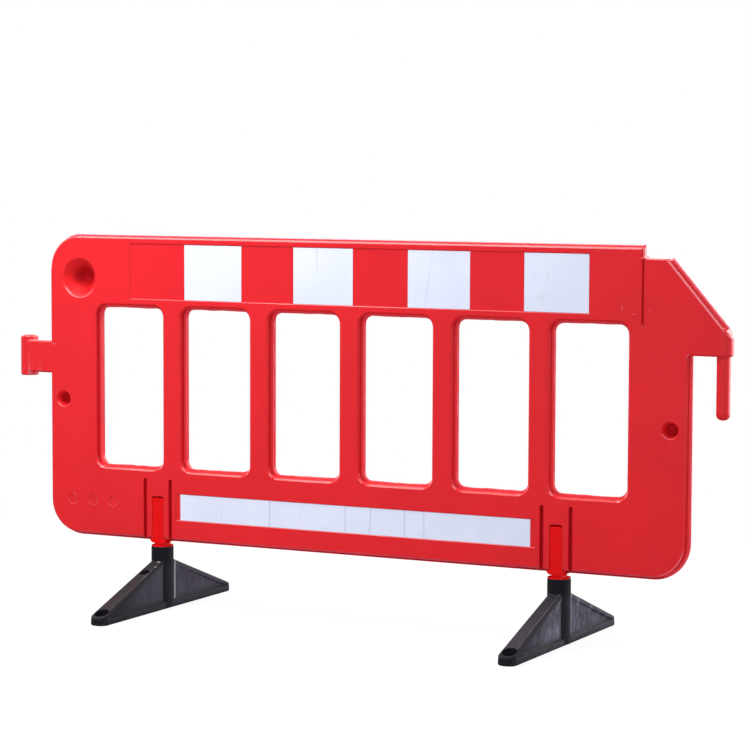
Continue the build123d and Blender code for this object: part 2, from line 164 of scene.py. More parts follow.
# The rim along the parting line, with painted light as if lit through where it is thin, and a paler painted
# highlight where it faces up.
# No edge is rounded above SHARP_FROM.
SHARP_FROM = 0.984
SHARP_FADE = 0.002
RIM_HALF = 0.0052
RIM_FADE = 0.0008
RIM_LIGHT_TINT = 0.9
RIM_BOTTOM_RAMP = (FACE_BOTTOM + 0.001, FACE_BOTTOM + 0.004)
ARM_END_TOP = 0.805
RIM_TOP_RAMP = (ARM_END_TOP - 0.02, ARM_END_TOP)
RIM_UPWARD_RAMP = (0.4, 0.6, 0.0, 0.6)

# Walls between the front face and the rim, in its shade: nearest and furthest from the middle, end along X
WALL_NEAR = 0.0062
WALL_FAR = 0.0212
WALL_FADE = 0.001
WALL_END_RAMP = (0.922, 0.921)
WALL_HIGH_RAMP = (ARM_END_TOP, ARM_END_TOP + 0.002)
WALL_SIDEWAYS_RAMP = (0.55, 0.80, 0.0, 0.8)

# Blind cones in the front face, in painted shade and duller inside, with painted light on the lower part of
# wall and lip.
# Reaches and shares are of a cone's radius or depth.
Cone = namedtuple("Cone", "x z radius depth")
CONES = (
    Cone(-0.822, 0.881, 0.0525, 0.039),
    Cone(-0.874, 0.552, 0.022, 0.0195),
    Cone(0.874, 0.552, 0.022, 0.0195),
)
CONE_EDGE = 0.007
CONE_EDGE_REACH = 2
CONE_LIP = 0.0016
CONE_END_RAMP = (0.0205, 0.0165)
CONE_REACH = 1.2
CONE_REACH_Y = 0.04
CONE_CORE = 0.8
CONE_DULLNESS = 0.3
CONE_SPECULAR = 0.15
HOLLOW_REACH_Y = 0.055
HOLLOW_CORE = 0.6
HOLLOW_FROM = 0.25
HOLLOW_TO = 0.9
HOLLOW_SHADE = 0.8
HOLLOW_SPECULAR = 0.06
CONE_LIP_LINE = 0.055
CONE_LIP_LIGHT = 9.0
CONE_LOW_FROM = 0.2
CONE_LOW_TO = 0.9
CONE_LOW_DEPTH = 0.5
CONE_LOW_CORE = 0.7
CONE_LOW_LIGHT = 0.45

# Grooves beside each peg: distance from the peg's axis, half width and its full part, top, depth
GROOVE_OFFSET = 0.039
GROOVE_HALF = 0.0062
GROOVE_CORE = 0.8
GROOVE_TOP_RAMP = (0.352, 0.348)
GROOVE_SINK = 0.003

# Slanted steps round the film fields: nearest and furthest from the middle
STEP_NEAR = 0.0222
STEP_FAR = 0.0239
STEP_FADE = 0.0003
STEP_SHADE_RAMP = (0.76, 0.82, 0.0, 0.4)
STEP_LIGHT_RAMP = (0.76, 0.82, 0.0, 0.5)

# Light on the faces' chamfers where they face up and right, as along the arm's slope
CHAMFER_DEPTH_RAMP = (0.0205, 0.0212)
CHAMFER_LIGHT_RAMP = (0.35, 0.43, 0.0, 0.45)

# Light along the chamfer of the right end, brightest round its lower corner: where it starts and ends along
# X, where the end's side starts, top of the corner, rightward and downward turn
END_START_RAMP = (0.80, 0.82)
END_STOP_RAMP = (0.925, 0.924)
END_SIDE_RAMP = (0.900, 0.904)
END_CORNER_RAMP = (0.30, 0.296)
END_RIGHTWARD_RAMP = (0.02, 0.30)
END_LIGHT_RAMP = (-0.05, -0.35, 0.08, 0.9)

# Plain rings moulded on the front face, seen by the shade above and the light below them
FRONT_FADE_FROM = 0.002
FRONT_FADE_TO = 0.001
RING_PLACES = (-0.8457, -0.782, -0.7183)
RING_Z = 0.2797
RING_RADIUS = 0.0140
RING_LINE = 0.0024
RING_SHADE = 0.4
RING_LIGHT = 0.35

# Scuffs on the link eye
EYE_RAMP = (-0.925, -0.985)
EYE_SCUFF_STRETCH = (60.0, 60.0, 9.0)
EYE_SCUFF_GRAIN = (1.0, 5.0, 0.65)
EYE_SCUFF_RAMP = (0.50, 0.74, 0.0, 0.6)

# Small marks on the front of the panel: place along X and Z, half sizes, turn, strength
PANEL_SCRATCHES = (
    (0.746, 0.846, 0.0030, 0.012, 0.0, 0.22),
    (0.778, 0.831, 0.0100, 0.0014, -0.15, 0.26),
    (0.819, 0.8415, 0.0070, 0.0014, -0.15, 0.30),
    (-0.905, 0.700, 0.0130, 0.0030, 0.1, 0.25),
    (0.443, 0.957, 0.0070, 0.0014, 0.3, 0.20),
    (0.435, 0.862, 0.0016, 0.0110, -0.3, 0.20),
)
PANEL_SPECKS = (
    (0.854, 0.9264, 0.0060, 0.0050, 0.0, 0.40),
    (0.971, 0.8215, 0.0040, 0.0040, 0.0, 0.35),
)

# Reflective films: grid, creases, waves and shaded edge
FILM_CELL = 0.012
CREASE_CELL = 0.0009
CREASE_LINES = 4
CREASE_HALF_WIDTH = 0.0013
CREASE_END_FADE = 0.06
FILM_WAVE = 0.00010
FILM_WAVE_PITCH = 0.05
FILM_EDGE = 0.0009
FILM_EDGE_SHADE = 0.6
FILM_CLOUD_GRAIN = (9.0, 4.0, 0.55)
FILM_CLOUD_RAMP = (0.34, 0.72, 0.0, 0.5)
FILM_LOW_SHADE = 0.5
FILM_SPECK_GRAIN = (110.0, 3.0, 0.6)
FILM_SPECK_RAMP = (0.70, 0.80, 0.0, 0.45)
FILM_BEAD_GRAIN = (900.0, 1.0)
FILM_BEAD_RELIEF = (0.0002, 0.08)
FILM_ROUGHNESS_RAMP = (0.0, 1.0, 0.34, 0.44)
FILM_SPECULAR = 0.35

# Brown smudges on the fourth film: place along X and Z, half sizes, turn, strength
FILM_SMUDGES = (
    (0.549, 0.917, 0.0060, 0.0220, 0.10, 0.22),
    (0.537, 0.866, 0.0040, 0.0220, 0.15, 0.28),
    (0.527, 0.868, 0.0070, 0.0110, 0.0, 0.15),
)

# A short level fold near the end of the fourth film: place along X and Z, half sizes, light on it and shade
# below
FILM_FOLD = (0.646, 0.898, 0.016, 0.0012)
FILM_FOLD_LIGHT = 0.9
FILM_FOLD_SHADE = 0.35

# Creases of the films: middle along X, lean and bow over the film's height, lower and upper end, fold
# height, shade. Places along X are from the film's middle, ends are shares of its height.
Crease = namedtuple("Crease", "x lean bow start end fold shade")
FILM_CREASES = {
    "front_film_1": (Crease(-0.004, -0.024, 0.0, 0.0, 0.92, 0.00034, 0.0),),
    "front_film_2": (Crease(-0.0165, -0.004, 0.0, 0.66, 1.1, 0.00018, 0.45),),
    "front_film_3": (Crease(-0.028, 0.021, 0.0, 0.06, 1.0, 0.00020, 0.35),),
    "front_film_4": (),
    "front_strip": (
        Crease(-0.380, 0.0, 0.0, 0.0, 1.0, 0.00012, 0.22),
        Crease(-0.236, 0.001, 0.0, 0.0, 1.0, 0.00026, 0.75),
        Crease(-0.140, 0.012, 0.006, 0.25, 0.95, 0.00016, 0.30),
        Crease(-0.013, 0.0, 0.0, 0.0, 1.0, 0.00024, 0.60),
        Crease(0.060, 0.005, 0.0, 0.0, 1.0, 0.00026, 0.70),
        Crease(0.158, 0.0, 0.0, 0.0, 1.0, 0.00024, 0.65),
        Crease(0.213, -0.001, 0.0, 0.0, 1.0, 0.00022, 0.55),
    ),
    "rear_film_1": (Crease(0.031, 0.010, 0.0, 0.0, 1.0, 0.00018, 0.30),),
    "rear_film_2": (),
    "rear_film_3": (Crease(-0.048, -0.006, 0.0, 0.45, 1.1, 0.00018, 0.40),),
    "rear_film_4": (Crease(0.012, 0.018, 0.0, 0.0, 1.0, 0.00020, 0.30),),
    "rear_strip": (
        Crease(-0.310, 0.001, 0.0, 0.0, 1.0, 0.00024, 0.60),
        Crease(-0.082, 0.0, 0.0, 0.0, 1.0, 0.00022, 0.45),
        Crease(0.127, 0.003, 0.0, 0.0, 1.0, 0.00024, 0.60),
        Crease(0.405, 0.0, 0.0, 0.0, 1.0, 0.00022, 0.50),
    ),
}

# Flash left where the windows were trimmed by hand
WINDOW_MARGIN = 0.0075
WINDOW_RIM_RADIUS = 0.024
FLASH_STEP = 0.006
FLASH_ROOT = 0.0010
FLASH_LEAST = 0.0003
FLASH_MOST = 0.0026
FLASH_MIDDLE = 0.5
FLASH_WAVE = 0.5
FLASH_WAVE_PITCH = 0.040
FLASH_RAGGED = 0.25
FLASH_THICKNESS = 0.0030
FLASH_EDGE = 0.0016

# Rubber feet: the axis of their boss, the holes in them, the ridge down their slopes and the painted
# highlight on the moulded edge behind the boss
FOOT_X = 0.577
BETWEEN_FEET = (-0.1, 0.1)
TIP_HOLE_Y = 0.300
TIP_HOLE_RADIUS = 0.0192
SLOPE_HOLE_Y = 0.089
SLOPE_HOLE_RADIUS = 0.0132
HOLE_CORE = 0.96
PILLAR_RADIUS = 0.030
RIDGE_LINE = 0.013
RIDGE_LINE_WIDTH = 0.0016
RIDGE_TOP = 0.131
RIDGE_FLAT = 0.022
RIDGE_FALL = 0.364
RIDGE_DEPTH = 0.0086
RIDGE_FADE = 0.001
PILLAR_EDGE_Y = 0.0350
PILLAR_EDGE_WIDTH = 0.0044
PILLAR_EDGE_HIGHLIGHT = 0.9
PILLAR_EDGE_BOTTOM_RAMP = (0.016, 0.022)

# Rubber: its grain, mottle, streaks and chips
RUBBER_EDGE_RADIUS = 0.0025
RUBBER_GRAIN = (150.0, 5.0, 0.65)
RUBBER_RELIEF = (0.0012, 0.30)
RUBBER_ROUGHNESS_RAMP = (0.30, 0.70, 0.55, 0.75)
RUBBER_SPECULAR = 0.1
MOTTLE_GRAIN = (24.0, 5.0, 0.6)
BLOTCH_STRETCH = (1.0, 26.0, 20.0)
BLOTCH_GRAIN = (1.0, 4.0, 0.6)
STREAK_STRETCH = (1.0, 55.0, 20.0)
STREAK_GRAIN = (1.0, 5.0, 0.65)
CHIP_GRAIN = (95.0, 2.0)
CHIP_RAMP = (0.775, 0.81, 0.0, 0.6)
CHIP_TINT = 0.8

# Dust on the feet's sides: less towards the front, low down, at the boss, and on the left foot
SIDE_MOTTLE_RAMP = (0.35, 0.75, 0.0, 0.4)
SIDE_STREAK_RAMP = (0.40, 0.75, 0.0, 0.6)
SIDE_BLOTCH_RAMP = (0.42, 0.68, 0.0, 0.4)
SIDE_ALONG_RAMP = (-0.27, -0.05, 0.2, 1.0)
SIDE_HEIGHT_RAMP = (0.014, 0.034, 0.3, 1.0)
SIDE_PILLAR_RAMP = (0.8 * PILLAR_RADIUS, PILLAR_RADIUS, 0.1, 1.0)
SIDE_LEFT_DUST = 0.2
FLANGE_TINT = 0.85
FLANGE_FRONT_RAMP = (0.0, PILLAR_RADIUS, 1.0, 0.0)

# Dust on the feet's tops: none right of the ridge's line, less towards the boss and at the tips; a painted
# highlight along the ridge's line
TOP_RAMP = (0.25, 0.60)
TOP_MOTTLE_RAMP = (0.40, 0.75, 0.0, 0.5)
TOP_CLEAN_TINT = 0.85
TOP_BOSS_RAMP = (0.17, 0.04, 0.0, 0.5)
TOP_LINE_HIGHLIGHT = 0.7
TOP_LINE_MOTTLE_RAMP = (0.3, 0.6)
TOP_TIP_RAMP = (0.024, 0.040)
BOSS_RAMP = (0.128, 0.134)
RUBBED_AND_LIT_MOTTLE_RAMP = (0.36, 0.62, 0.0, 0.35)
REAR_EDGE_LIGHT_RAMP = (0.5 * PILLAR_RADIUS, PILLAR_RADIUS, 1.0, 2.4)
GROUND_SHADE_RAMP = (0.005, 0.001)

# Pale chips on the left foot, from its axis: place, half sizes
FOOT_CHIPS = (
    ((0.008, -0.033, 0.127), (0.007, 0.004, 0.003)),
    ((0.014, -0.060, 0.117), (0.003, 0.004, 0.004)),
    ((0.025, -0.202, 0.002), (0.006, 0.0030, 0.0030)),
    ((0.025, -0.185, 0.002), (0.006, 0.0024, 0.0026)),
    ((0.020, -0.323, 0.002), (0.006, 0.0030, 0.0024)),
    ((0.021, -0.309, 0.002), (0.006, 0.0024, 0.0024)),
)

# Zinc-plated steel
ZINC_CLOUD_GRAIN = (90.0, 4.0, 0.6)
ZINC_ROUGHNESS_RAMP = (0.30, 0.70, 0.28, 0.45)
ZINC_GRAIN = (1400.0, 2.0)
ZINC_RELIEF = (0.0001, 0.2)


# Small helpers for node materials
def add_node(tree, kind, inputs=None, **settings):
    """Add a shader node, set its options, and set or link its inputs."""
    made = tree.nodes.new("ShaderNode" + kind)
    for name, value in settings.items():
        setattr(made, name, value)
    for key, value in (inputs or {}).items():
        if isinstance(value, bpy.types.NodeSocket):
            tree.links.new(value, made.inputs[key])
        else:
            made.inputs[key].default_value = value
    return made


def new_material(name):
    """Make an empty node material with one Principled shader."""
    material = bpy.data.materials.new(name)
    material.use_nodes = True
    tree = material.node_tree
    tree.nodes.clear()
    shader = add_node(tree, "BsdfPrincipled")
    add_node(tree, "OutputMaterial", {"Surface": shader.outputs["BSDF"]})
    return material, tree, shader


def rest_position(tree, stretch=(1.0, 1.0, 1.0)):
    """Give the place on the piece at rest, in metres, stretched along its axes."""
    place = add_node(tree, "TexCoord").outputs["Object"]
    return add_node(tree, "Mapping", {"Vector": place, "Scale": stretch}).outputs["Vector"]


def noise(tree, place, scale, detail, roughness=0.5):
    """Give a noise value from 0 to 1."""
    settings = {"Vector": place, "Scale": scale, "Detail": detail, "Roughness": roughness}
    return add_node(tree, "TexNoise", settings).outputs["Fac"]


def remap(tree, value, low, high, to_low=0.0, to_high=1.0):
    """Map low..high to to_low..to_high, smoothly and clamped."""
    settings = {"Value": value, "From Min": low, "From Max": high, "To Min": to_low, "To Max": to_high}
    return add_node(tree, "MapRange", settings, interpolation_type="SMOOTHSTEP").outputs["Result"]


def maths(tree, operation, a, b):
    """Combine two values."""
    return add_node(tree, "Math", {0: a, 1: b}, operation=operation).outputs["Value"]


def absolute(tree, value):
    """Give a value without its sign."""
    return maths(tree, "ABSOLUTE", value, 0.0)


def product(tree, value, *factors):
    """Multiply values."""
    for factor in factors:
        value = maths(tree, "MULTIPLY", value, factor)
    return value


def largest(tree, value, *others):
    """Give the largest of some values."""
    for other in others:
        value = maths(tree, "MAXIMUM", value, other)
    return value


def band(tree, value, low, high, fade):
    """Say where a value lies between low and high, with soft ends inside them."""
    return product(tree, remap(tree, value, low, low + fade), remap(tree, value, high, high - fade))


def mix_colour(tree, factor, a, b):
    """Mix colour a towards colour b."""
    mixer = add_node(tree, "Mix", {"Factor": factor}, data_type="RGBA")
    for socket, value in ((mixer.inputs[6], a), (mixer.inputs[7], b)):
        if isinstance(value, bpy.types.NodeSocket):
            tree.links.new(value, socket)
        else:
            socket.default_value = value
    return mixer.outputs[2]


def axis_value(tree, place, axis):
    """Give one coordinate of a place."""
    return add_node(tree, "SeparateXYZ", {"Vector": place}).outputs[axis]


def true_normal(tree):
    """Give the surface normal as it was built."""
    return add_node(tree, "NewGeometry").outputs["Normal"]


def length(tree, vector):
    """Give the length of a vector."""
    return add_node(tree, "VectorMath", {0: vector}, operation="LENGTH").outputs["Value"]


def flat_distance(tree, **sides):
    """Give the length of a vector from its sides along X, Y or Z."""
    return length(tree, add_node(tree, "CombineXYZ", sides).outputs["Vector"])


def soft_normal(tree, radius):
    """Give the surface normal with its edges rounded to a radius."""
    return add_node(tree, "Bevel", {"Radius": radius}, samples=BEVEL_SAMPLES).outputs["Normal"]


def edge_mask(tree, rounded):
    """Say how near the surface is to an edge, from the difference between rounded and true normals."""
    dot = add_node(tree, "VectorMath", {0: rounded, 1: true_normal(tree)}, operation="DOT_PRODUCT")
    return remap(tree, dot.outputs["Value"], *EDGE_RAMP)


def bump(tree, height, distance, strength, normal=None):
    """Give a normal with fine relief."""
    settings = {"Height": height, "Distance": distance, "Strength": strength}
    if normal is not None:
        settings["Normal"] = normal
    return add_node(tree, "Bump", settings).outputs["Normal"]


def mark(tree, centre, half_sizes, turn, strength, core=MARK_CORE):
    """Say where one soft-edged mark lies: an ellipsoid, turned about Y, full inside its core."""
    place = add_node(tree, "TexCoord").outputs["Object"]
    settings = {"Vector": place, "Location": centre, "Rotation": (0.0, turn, 0.0), "Scale": half_sizes}
    local = add_node(tree, "Mapping", settings, vector_type="TEXTURE").outputs["Vector"]
    return remap(tree, length(tree, local), 1.0, core, 0.0, strength)


def ring_line(tree, x, z, centre_x, centre_z, radius, width):
    """Say where a soft ring lies, seen along Y."""
    away = flat_distance(
        tree, X=maths(tree, "SUBTRACT", x, centre_x), Z=maths(tree, "SUBTRACT", z, centre_z)
    )
    off_ring = absolute(tree, maths(tree, "SUBTRACT", away, radius))
    return remap(tree, off_ring, width, width / 4)


def repaint(tree, shader, factor, colour):
    """Mix a colour over the shader's present base colour."""
    base = shader.inputs["Base Color"]
    tree.links.new(mix_colour(tree, factor, base.links[0].from_socket, colour), base)


# Moulded plastic
def moulded_plastic(name, colour, deep_colour, edge_radius, wear, specular, soft_spots=(), sharp_from=None):
    """Semi-gloss moulded plastic: cloudy colour, fine drawn lines, orange peel and pale worn edges."""
    material, tree, shader = new_material(name)
    place = rest_position(tree)
    lines = noise(tree, rest_position(tree, LINE_STRETCH), *LINE_GRAIN)
    clouds = noise(tree, place, *CLOUD_GRAIN)
    if sharp_from is not None:
        height = axis_value(tree, place, "Z")
        edge_radius = remap(tree, height, sharp_from, sharp_from + SHARP_FADE, edge_radius, 0.0)
    for centre, half_sizes, extra in soft_spots:
        edge_radius = maths(tree, "ADD", edge_radius, mark(tree, centre, half_sizes, 0.0, extra))
    rounded = soft_normal(tree, edge_radius)
    patches = remap(tree, noise(tree, place, *WEAR_GRAIN), *WEAR_RAMP)
    worn = product(tree, edge_mask(tree, rounded), patches, wear)
    shade = maths(tree, "ADD", remap(tree, clouds, *CLOUD_SHADE_RAMP), remap(tree, lines, *LINE_SHADE_RAMP))
    tree.links.new(mix_colour(tree, shade, colour, deep_colour), shader.inputs["Base Color"])
    repaint(tree, shader, worn, PANEL_WEAR_AND_LIGHT)
    tree.links.new(remap(tree, clouds, *PLASTIC_ROUGHNESS_RAMP), shader.inputs["Roughness"])
    peel = bump(tree, noise(tree, place, *PEEL_GRAIN), *PEEL_RELIEF, rounded)
    tree.links.new(bump(tree, lines, *LINE_RELIEF, peel), shader.inputs["Normal"])
    shader.inputs["Specular IOR Level"].default_value = specular
    return material, tree, shader


# What the panel's paint goes by: the front of the panel, the place on it, and parts of its normal
PanelSpot = namedtuple("PanelSpot", "front x y z off_middle rightward upward")


def panel_spot(tree):
    """Give the place and normal that the panel's paint goes by."""
    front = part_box("panel")[0].y
    x, y, z = (axis_value(tree, rest_position(tree), axis) for axis in "XYZ")
    rightward, upward = (axis_value(tree, true_normal(tree), axis) for axis in "XZ")
    return PanelSpot(front, x, y, z, absolute(tree, y), rightward, upward)


def cone_spot(tree, at, cone, reach, reach_y, core):
    """Say where a cone lies, out to a share of its radius, and not on the panel's back."""
    half_sizes = (reach * cone.radius, reach_y, reach * cone.radius)
    spot = mark(tree, (cone.x, at.front / 2, cone.z), half_sizes, 0.0, 1.0, core)
    return product(tree, spot, remap(tree, at.y, *CONE_END_RAMP))


def dull_cones(tree, shader, at, cones):
    """Roughen the insides of the cones, and give the gloss that is left."""
    sunk = remap(tree, at.y, at.front + CONE_LIP / 4, at.front + CONE_LIP, 0.0, CONE_DULLNESS)
    roughness = shader.inputs["Roughness"].links[0].from_socket
    gloss = PANEL_SPECULAR
    for inside in cones:
        dull = product(tree, inside, sunk)
        roughness = maths(tree, "ADD", roughness, dull)
        lowered = remap(tree, dull, 0.0, CONE_DULLNESS, PANEL_SPECULAR, CONE_SPECULAR)
        gloss = maths(tree, "MINIMUM", gloss, lowered)
    tree.links.new(roughness, shader.inputs["Roughness"])
    return gloss


def paint_rim(tree, shader, at, off_cones):
    """Paint light on the rim along the parting line, and a paler painted highlight where it faces up."""
    rim = remap(tree, at.off_middle, RIM_HALF + RIM_FADE, RIM_HALF, 0.0, RIM_LIGHT_TINT)
    rim = product(tree, rim, remap(tree, at.z, *RIM_BOTTOM_RAMP), off_cones)
    repaint(tree, shader, rim, PANEL_RIM_LIGHT)
    rim_highlight = product(tree, remap(tree, at.z, *RIM_TOP_RAMP), remap(tree, at.upward, *RIM_UPWARD_RAMP))
    repaint(tree, shader, product(tree, rim, rim_highlight), PANEL_RIM_HIGHLIGHT)


def wall_shade(tree, at, off_cones):
    """Give the shade of the walls between the front face and the rim, apart from the arm's end."""
    walls = band(tree, at.y, -WALL_FAR, -WALL_NEAR, WALL_FADE)
    sideways = remap(tree, absolute(tree, at.rightward), *WALL_SIDEWAYS_RAMP)
    on_panel = remap(tree, absolute(tree, at.x), *WALL_END_RAMP)
    on_panel = largest(tree, on_panel, remap(tree, at.z, *WALL_HIGH_RAMP))
    return product(tree, walls, sideways, on_panel, off_cones)


def cone_shade(tree, at, cone):
    """Give the shade in a cone, which deepens with it."""
    start, end = (at.front + share * cone.depth for share in (HOLLOW_FROM, HOLLOW_TO))
    sinking = remap(tree, at.y, start, end, 0.0, HOLLOW_SHADE)
    return product(tree, cone_spot(tree, at, cone, 1.0, HOLLOW_REACH_Y, HOLLOW_CORE), sinking)


def groove_shade(tree, at):
    """Give the shade in the grooves beside the pegs."""
    off_peg = absolute(tree, maths(tree, "SUBTRACT", absolute(tree, at.x), FOOT_X))
    off_groove = absolute(tree, maths(tree, "SUBTRACT", off_peg, GROOVE_OFFSET))
    groove = remap(tree, off_groove, GROOVE_HALF, GROOVE_CORE * GROOVE_HALF)
    start, end = (-at.front - sink for sink in (GROOVE_SINK / 4, GROOVE_SINK))
    sinking = remap(tree, at.off_middle, start, end, 0.0, HOLLOW_SHADE)
    return product(tree, groove, remap(tree, at.z, *GROOVE_TOP_RAMP), sinking)


def low_rim_shade(tree, at):
    """Give the shade of the rim under the panel's lower edge."""
    low = remap(tree, at.z, FACE_BOTTOM + LOW_RIM_TOP, FACE_BOTTOM + LOW_RIM_FULL, 0.0, LOW_RIM_SHADE)
    return product(tree, low, remap(tree, at.off_middle, *LOW_RIM_DEPTH_RAMP))


def paint_hollows(tree, shader, at, off_cones, gloss):
    """Paint shade on the walls, cones, grooves and lower rim, and take their gloss away."""
    shades = [wall_shade(tree, at, off_cones)]
    shades += [cone_shade(tree, at, cone) for cone in CONES]
    shades += [groove_shade(tree, at), low_rim_shade(tree, at)]
    shaded = largest(tree, *shades)
    repaint(tree, shader, shaded, PANEL_PAINTED_SHADE)
    lowered = remap(tree, shaded, 0.0, HOLLOW_SHADE, PANEL_SPECULAR, HOLLOW_SPECULAR)
    tree.links.new(maths(tree, "MINIMUM", gloss, lowered), shader.inputs["Specular IOR Level"])


def paint_edges(tree, shader, at):
    """Paint the light and shade on the faces' chamfers and on the steps round the film fields."""
    # Painted lilac reflection of the floor on the lower chamfer
    start, end = FACE_BOTTOM + LOW_EDGE_TOP, FACE_BOTTOM + FACE_CHAMFER
    low_reflection = remap(tree, at.z, start, end, 0.0, LOW_EDGE_REFLECTION_TINT)
    low_reflection = product(tree, low_reflection, remap(tree, at.off_middle, *LOW_EDGE_DEPTH_RAMP))
    repaint(tree, shader, low_reflection, PANEL_LOW_EDGE_REFLECTION)

    steps = band(tree, at.off_middle, STEP_NEAR, STEP_FAR, STEP_FADE)
    step_shade = product(tree, steps, remap(tree, at.rightward, *STEP_SHADE_RAMP))
    repaint(tree, shader, step_shade, PANEL_PAINTED_SHADE)
    step_light = product(tree, steps, remap(tree, at.upward, *STEP_LIGHT_RAMP))
    repaint(tree, shader, step_light, PANEL_SCUFF_AND_HIGHLIGHT)

    on_chamfer = remap(tree, at.off_middle, *CHAMFER_DEPTH_RAMP)
    slant = maths(tree, "MINIMUM", at.rightward, at.upward)
    slope_light = product(tree, remap(tree, slant, *CHAMFER_LIGHT_RAMP), on_chamfer)
    repaint(tree, shader, slope_light, PANEL_SCUFF_AND_HIGHLIGHT)
    end_light = product(
        tree,
        largest(tree, remap(tree, at.x, *END_SIDE_RAMP), remap(tree, at.z, *END_CORNER_RAMP)),
        remap(tree, at.x, *END_START_RAMP),
        remap(tree, at.x, *END_STOP_RAMP),
        on_chamfer,
        remap(tree, at.rightward, *END_RIGHTWARD_RAMP),
        remap(tree, at.upward, *END_LIGHT_RAMP),
    )
    repaint(tree, shader, end_light, PANEL_END_LIGHT)


def paint_rings(tree, shader, at, on_front):
    """Paint the shade above and the light below the plain rings."""
    for ring_x in RING_PLACES:
        line = ring_line(tree, at.x, at.z, ring_x, RING_Z, RING_RADIUS, RING_LINE)
        line = product(tree, line, on_front)
        upper = remap(tree, at.z, RING_Z - RING_RADIUS / 2, RING_Z + RING_RADIUS / 2)
        repaint(tree, shader, product(tree, line, upper, RING_SHADE), PANEL_PAINTED_SHADE)
        lower = maths(tree, "SUBTRACT", 1.0, upper)
        repaint(tree, shader, product(tree, line, lower, RING_LIGHT), PANEL_WEAR_AND_LIGHT)


def light_cones(tree, shader, at, on_front):
    """Paint the light on the lower part of the cones' lips and walls."""
    inner = remap(tree, at.y, at.front + CONE_LIP / 4, at.front + CONE_LIP)
    for cone in CONES:
        start, end = (cone.z - share * cone.radius for share in (CONE_LOW_FROM, CONE_LOW_TO))
        lower = remap(tree, at.z, start, end)
        line = ring_line(tree, at.x, at.z, cone.x, cone.z, cone.radius, CONE_LIP_LINE * cone.radius)
        lip = product(tree, line, on_front, lower, CONE_LIP_LIGHT * cone.radius)
        repaint(tree, shader, lip, PANEL_SCUFF_AND_HIGHLIGHT)
        half_sizes = (cone.radius, CONE_LOW_DEPTH * cone.depth, cone.radius)
        wall = mark(tree, (cone.x, at.front, cone.z), half_sizes, 0.0, CONE_LOW_LIGHT, CONE_LOW_CORE)
        repaint(tree, shader, product(tree, wall, inner, lower), PANEL_SCUFF_AND_HIGHLIGHT)


def paint_marks(tree, shader, at):
    """Paint pale scuffs on the link eye, and scratches and specks on the front."""
    streaks = noise(tree, rest_position(tree, EYE_SCUFF_STRETCH), *EYE_SCUFF_GRAIN)
    scuffs = product(tree, remap(tree, at.x, *EYE_RAMP), remap(tree, streaks, *EYE_SCUFF_RAMP))
    repaint(tree, shader, scuffs, PANEL_SCUFF_AND_HIGHLIGHT)
    for marks, colour in ((PANEL_SCRATCHES, PANEL_SCUFF_AND_HIGHLIGHT), (PANEL_SPECKS, PANEL_DIRT)):
        for x, z, half_x, half_z, turn, strength in marks:
            spot = mark(tree, (x, at.front, z), (half_x, half_x, half_z), turn, strength)
            repaint(tree, shader, spot, colour)


def panel_plastic():
    """Red polyethylene of the panel: painted light on rim and edges, painted shade in its hollows, and small
    marks.
    """
    big = CONES[0]
    soft_cone = ((big.x, 0.0, big.z), (CONE_EDGE_REACH * big.radius,) * 3, CONE_EDGE)
    material, tree, shader = moulded_plastic(
        "panel_plastic", PANEL_RED, PANEL_RED_DEEP, PANEL_EDGE_RADIUS, PANEL_WEAR, PANEL_SPECULAR,
        [soft_cone], SHARP_FROM,
    )
    at = panel_spot(tree)
    cones = [cone_spot(tree, at, cone, CONE_REACH, CONE_REACH_Y, CONE_CORE) for cone in CONES]
    off_cones = product(tree, *(maths(tree, "SUBTRACT", 1.0, inside) for inside in cones))
    on_front = remap(tree, at.y, at.front + FRONT_FADE_FROM, at.front + FRONT_FADE_TO)
    gloss = dull_cones(tree, shader, at, cones)
    paint_rim(tree, shader, at, off_cones)
    paint_hollows(tree, shader, at, off_cones, gloss)
    paint_edges(tree, shader, at)
    paint_rings(tree, shader, at, on_front)
    light_cones(tree, shader, at, on_front)
    paint_marks(tree, shader, at)
    return material


def peg_plastic():
    """Brighter red of the injection-moulded pegs, without gloss on their upper faces."""
    material, tree, shader = moulded_plastic(
        "peg_plastic", PEG_RED, PEG_RED_DEEP, PEG_EDGE_RADIUS, PEG_WEAR, PEG_SPECULAR
    )
    upward = axis_value(tree, true_normal(tree), "Z")
    tree.links.new(remap(tree, upward, *PEG_UPWARD_GLOSS_RAMP), shader.inputs["Specular IOR Level"])
    return material


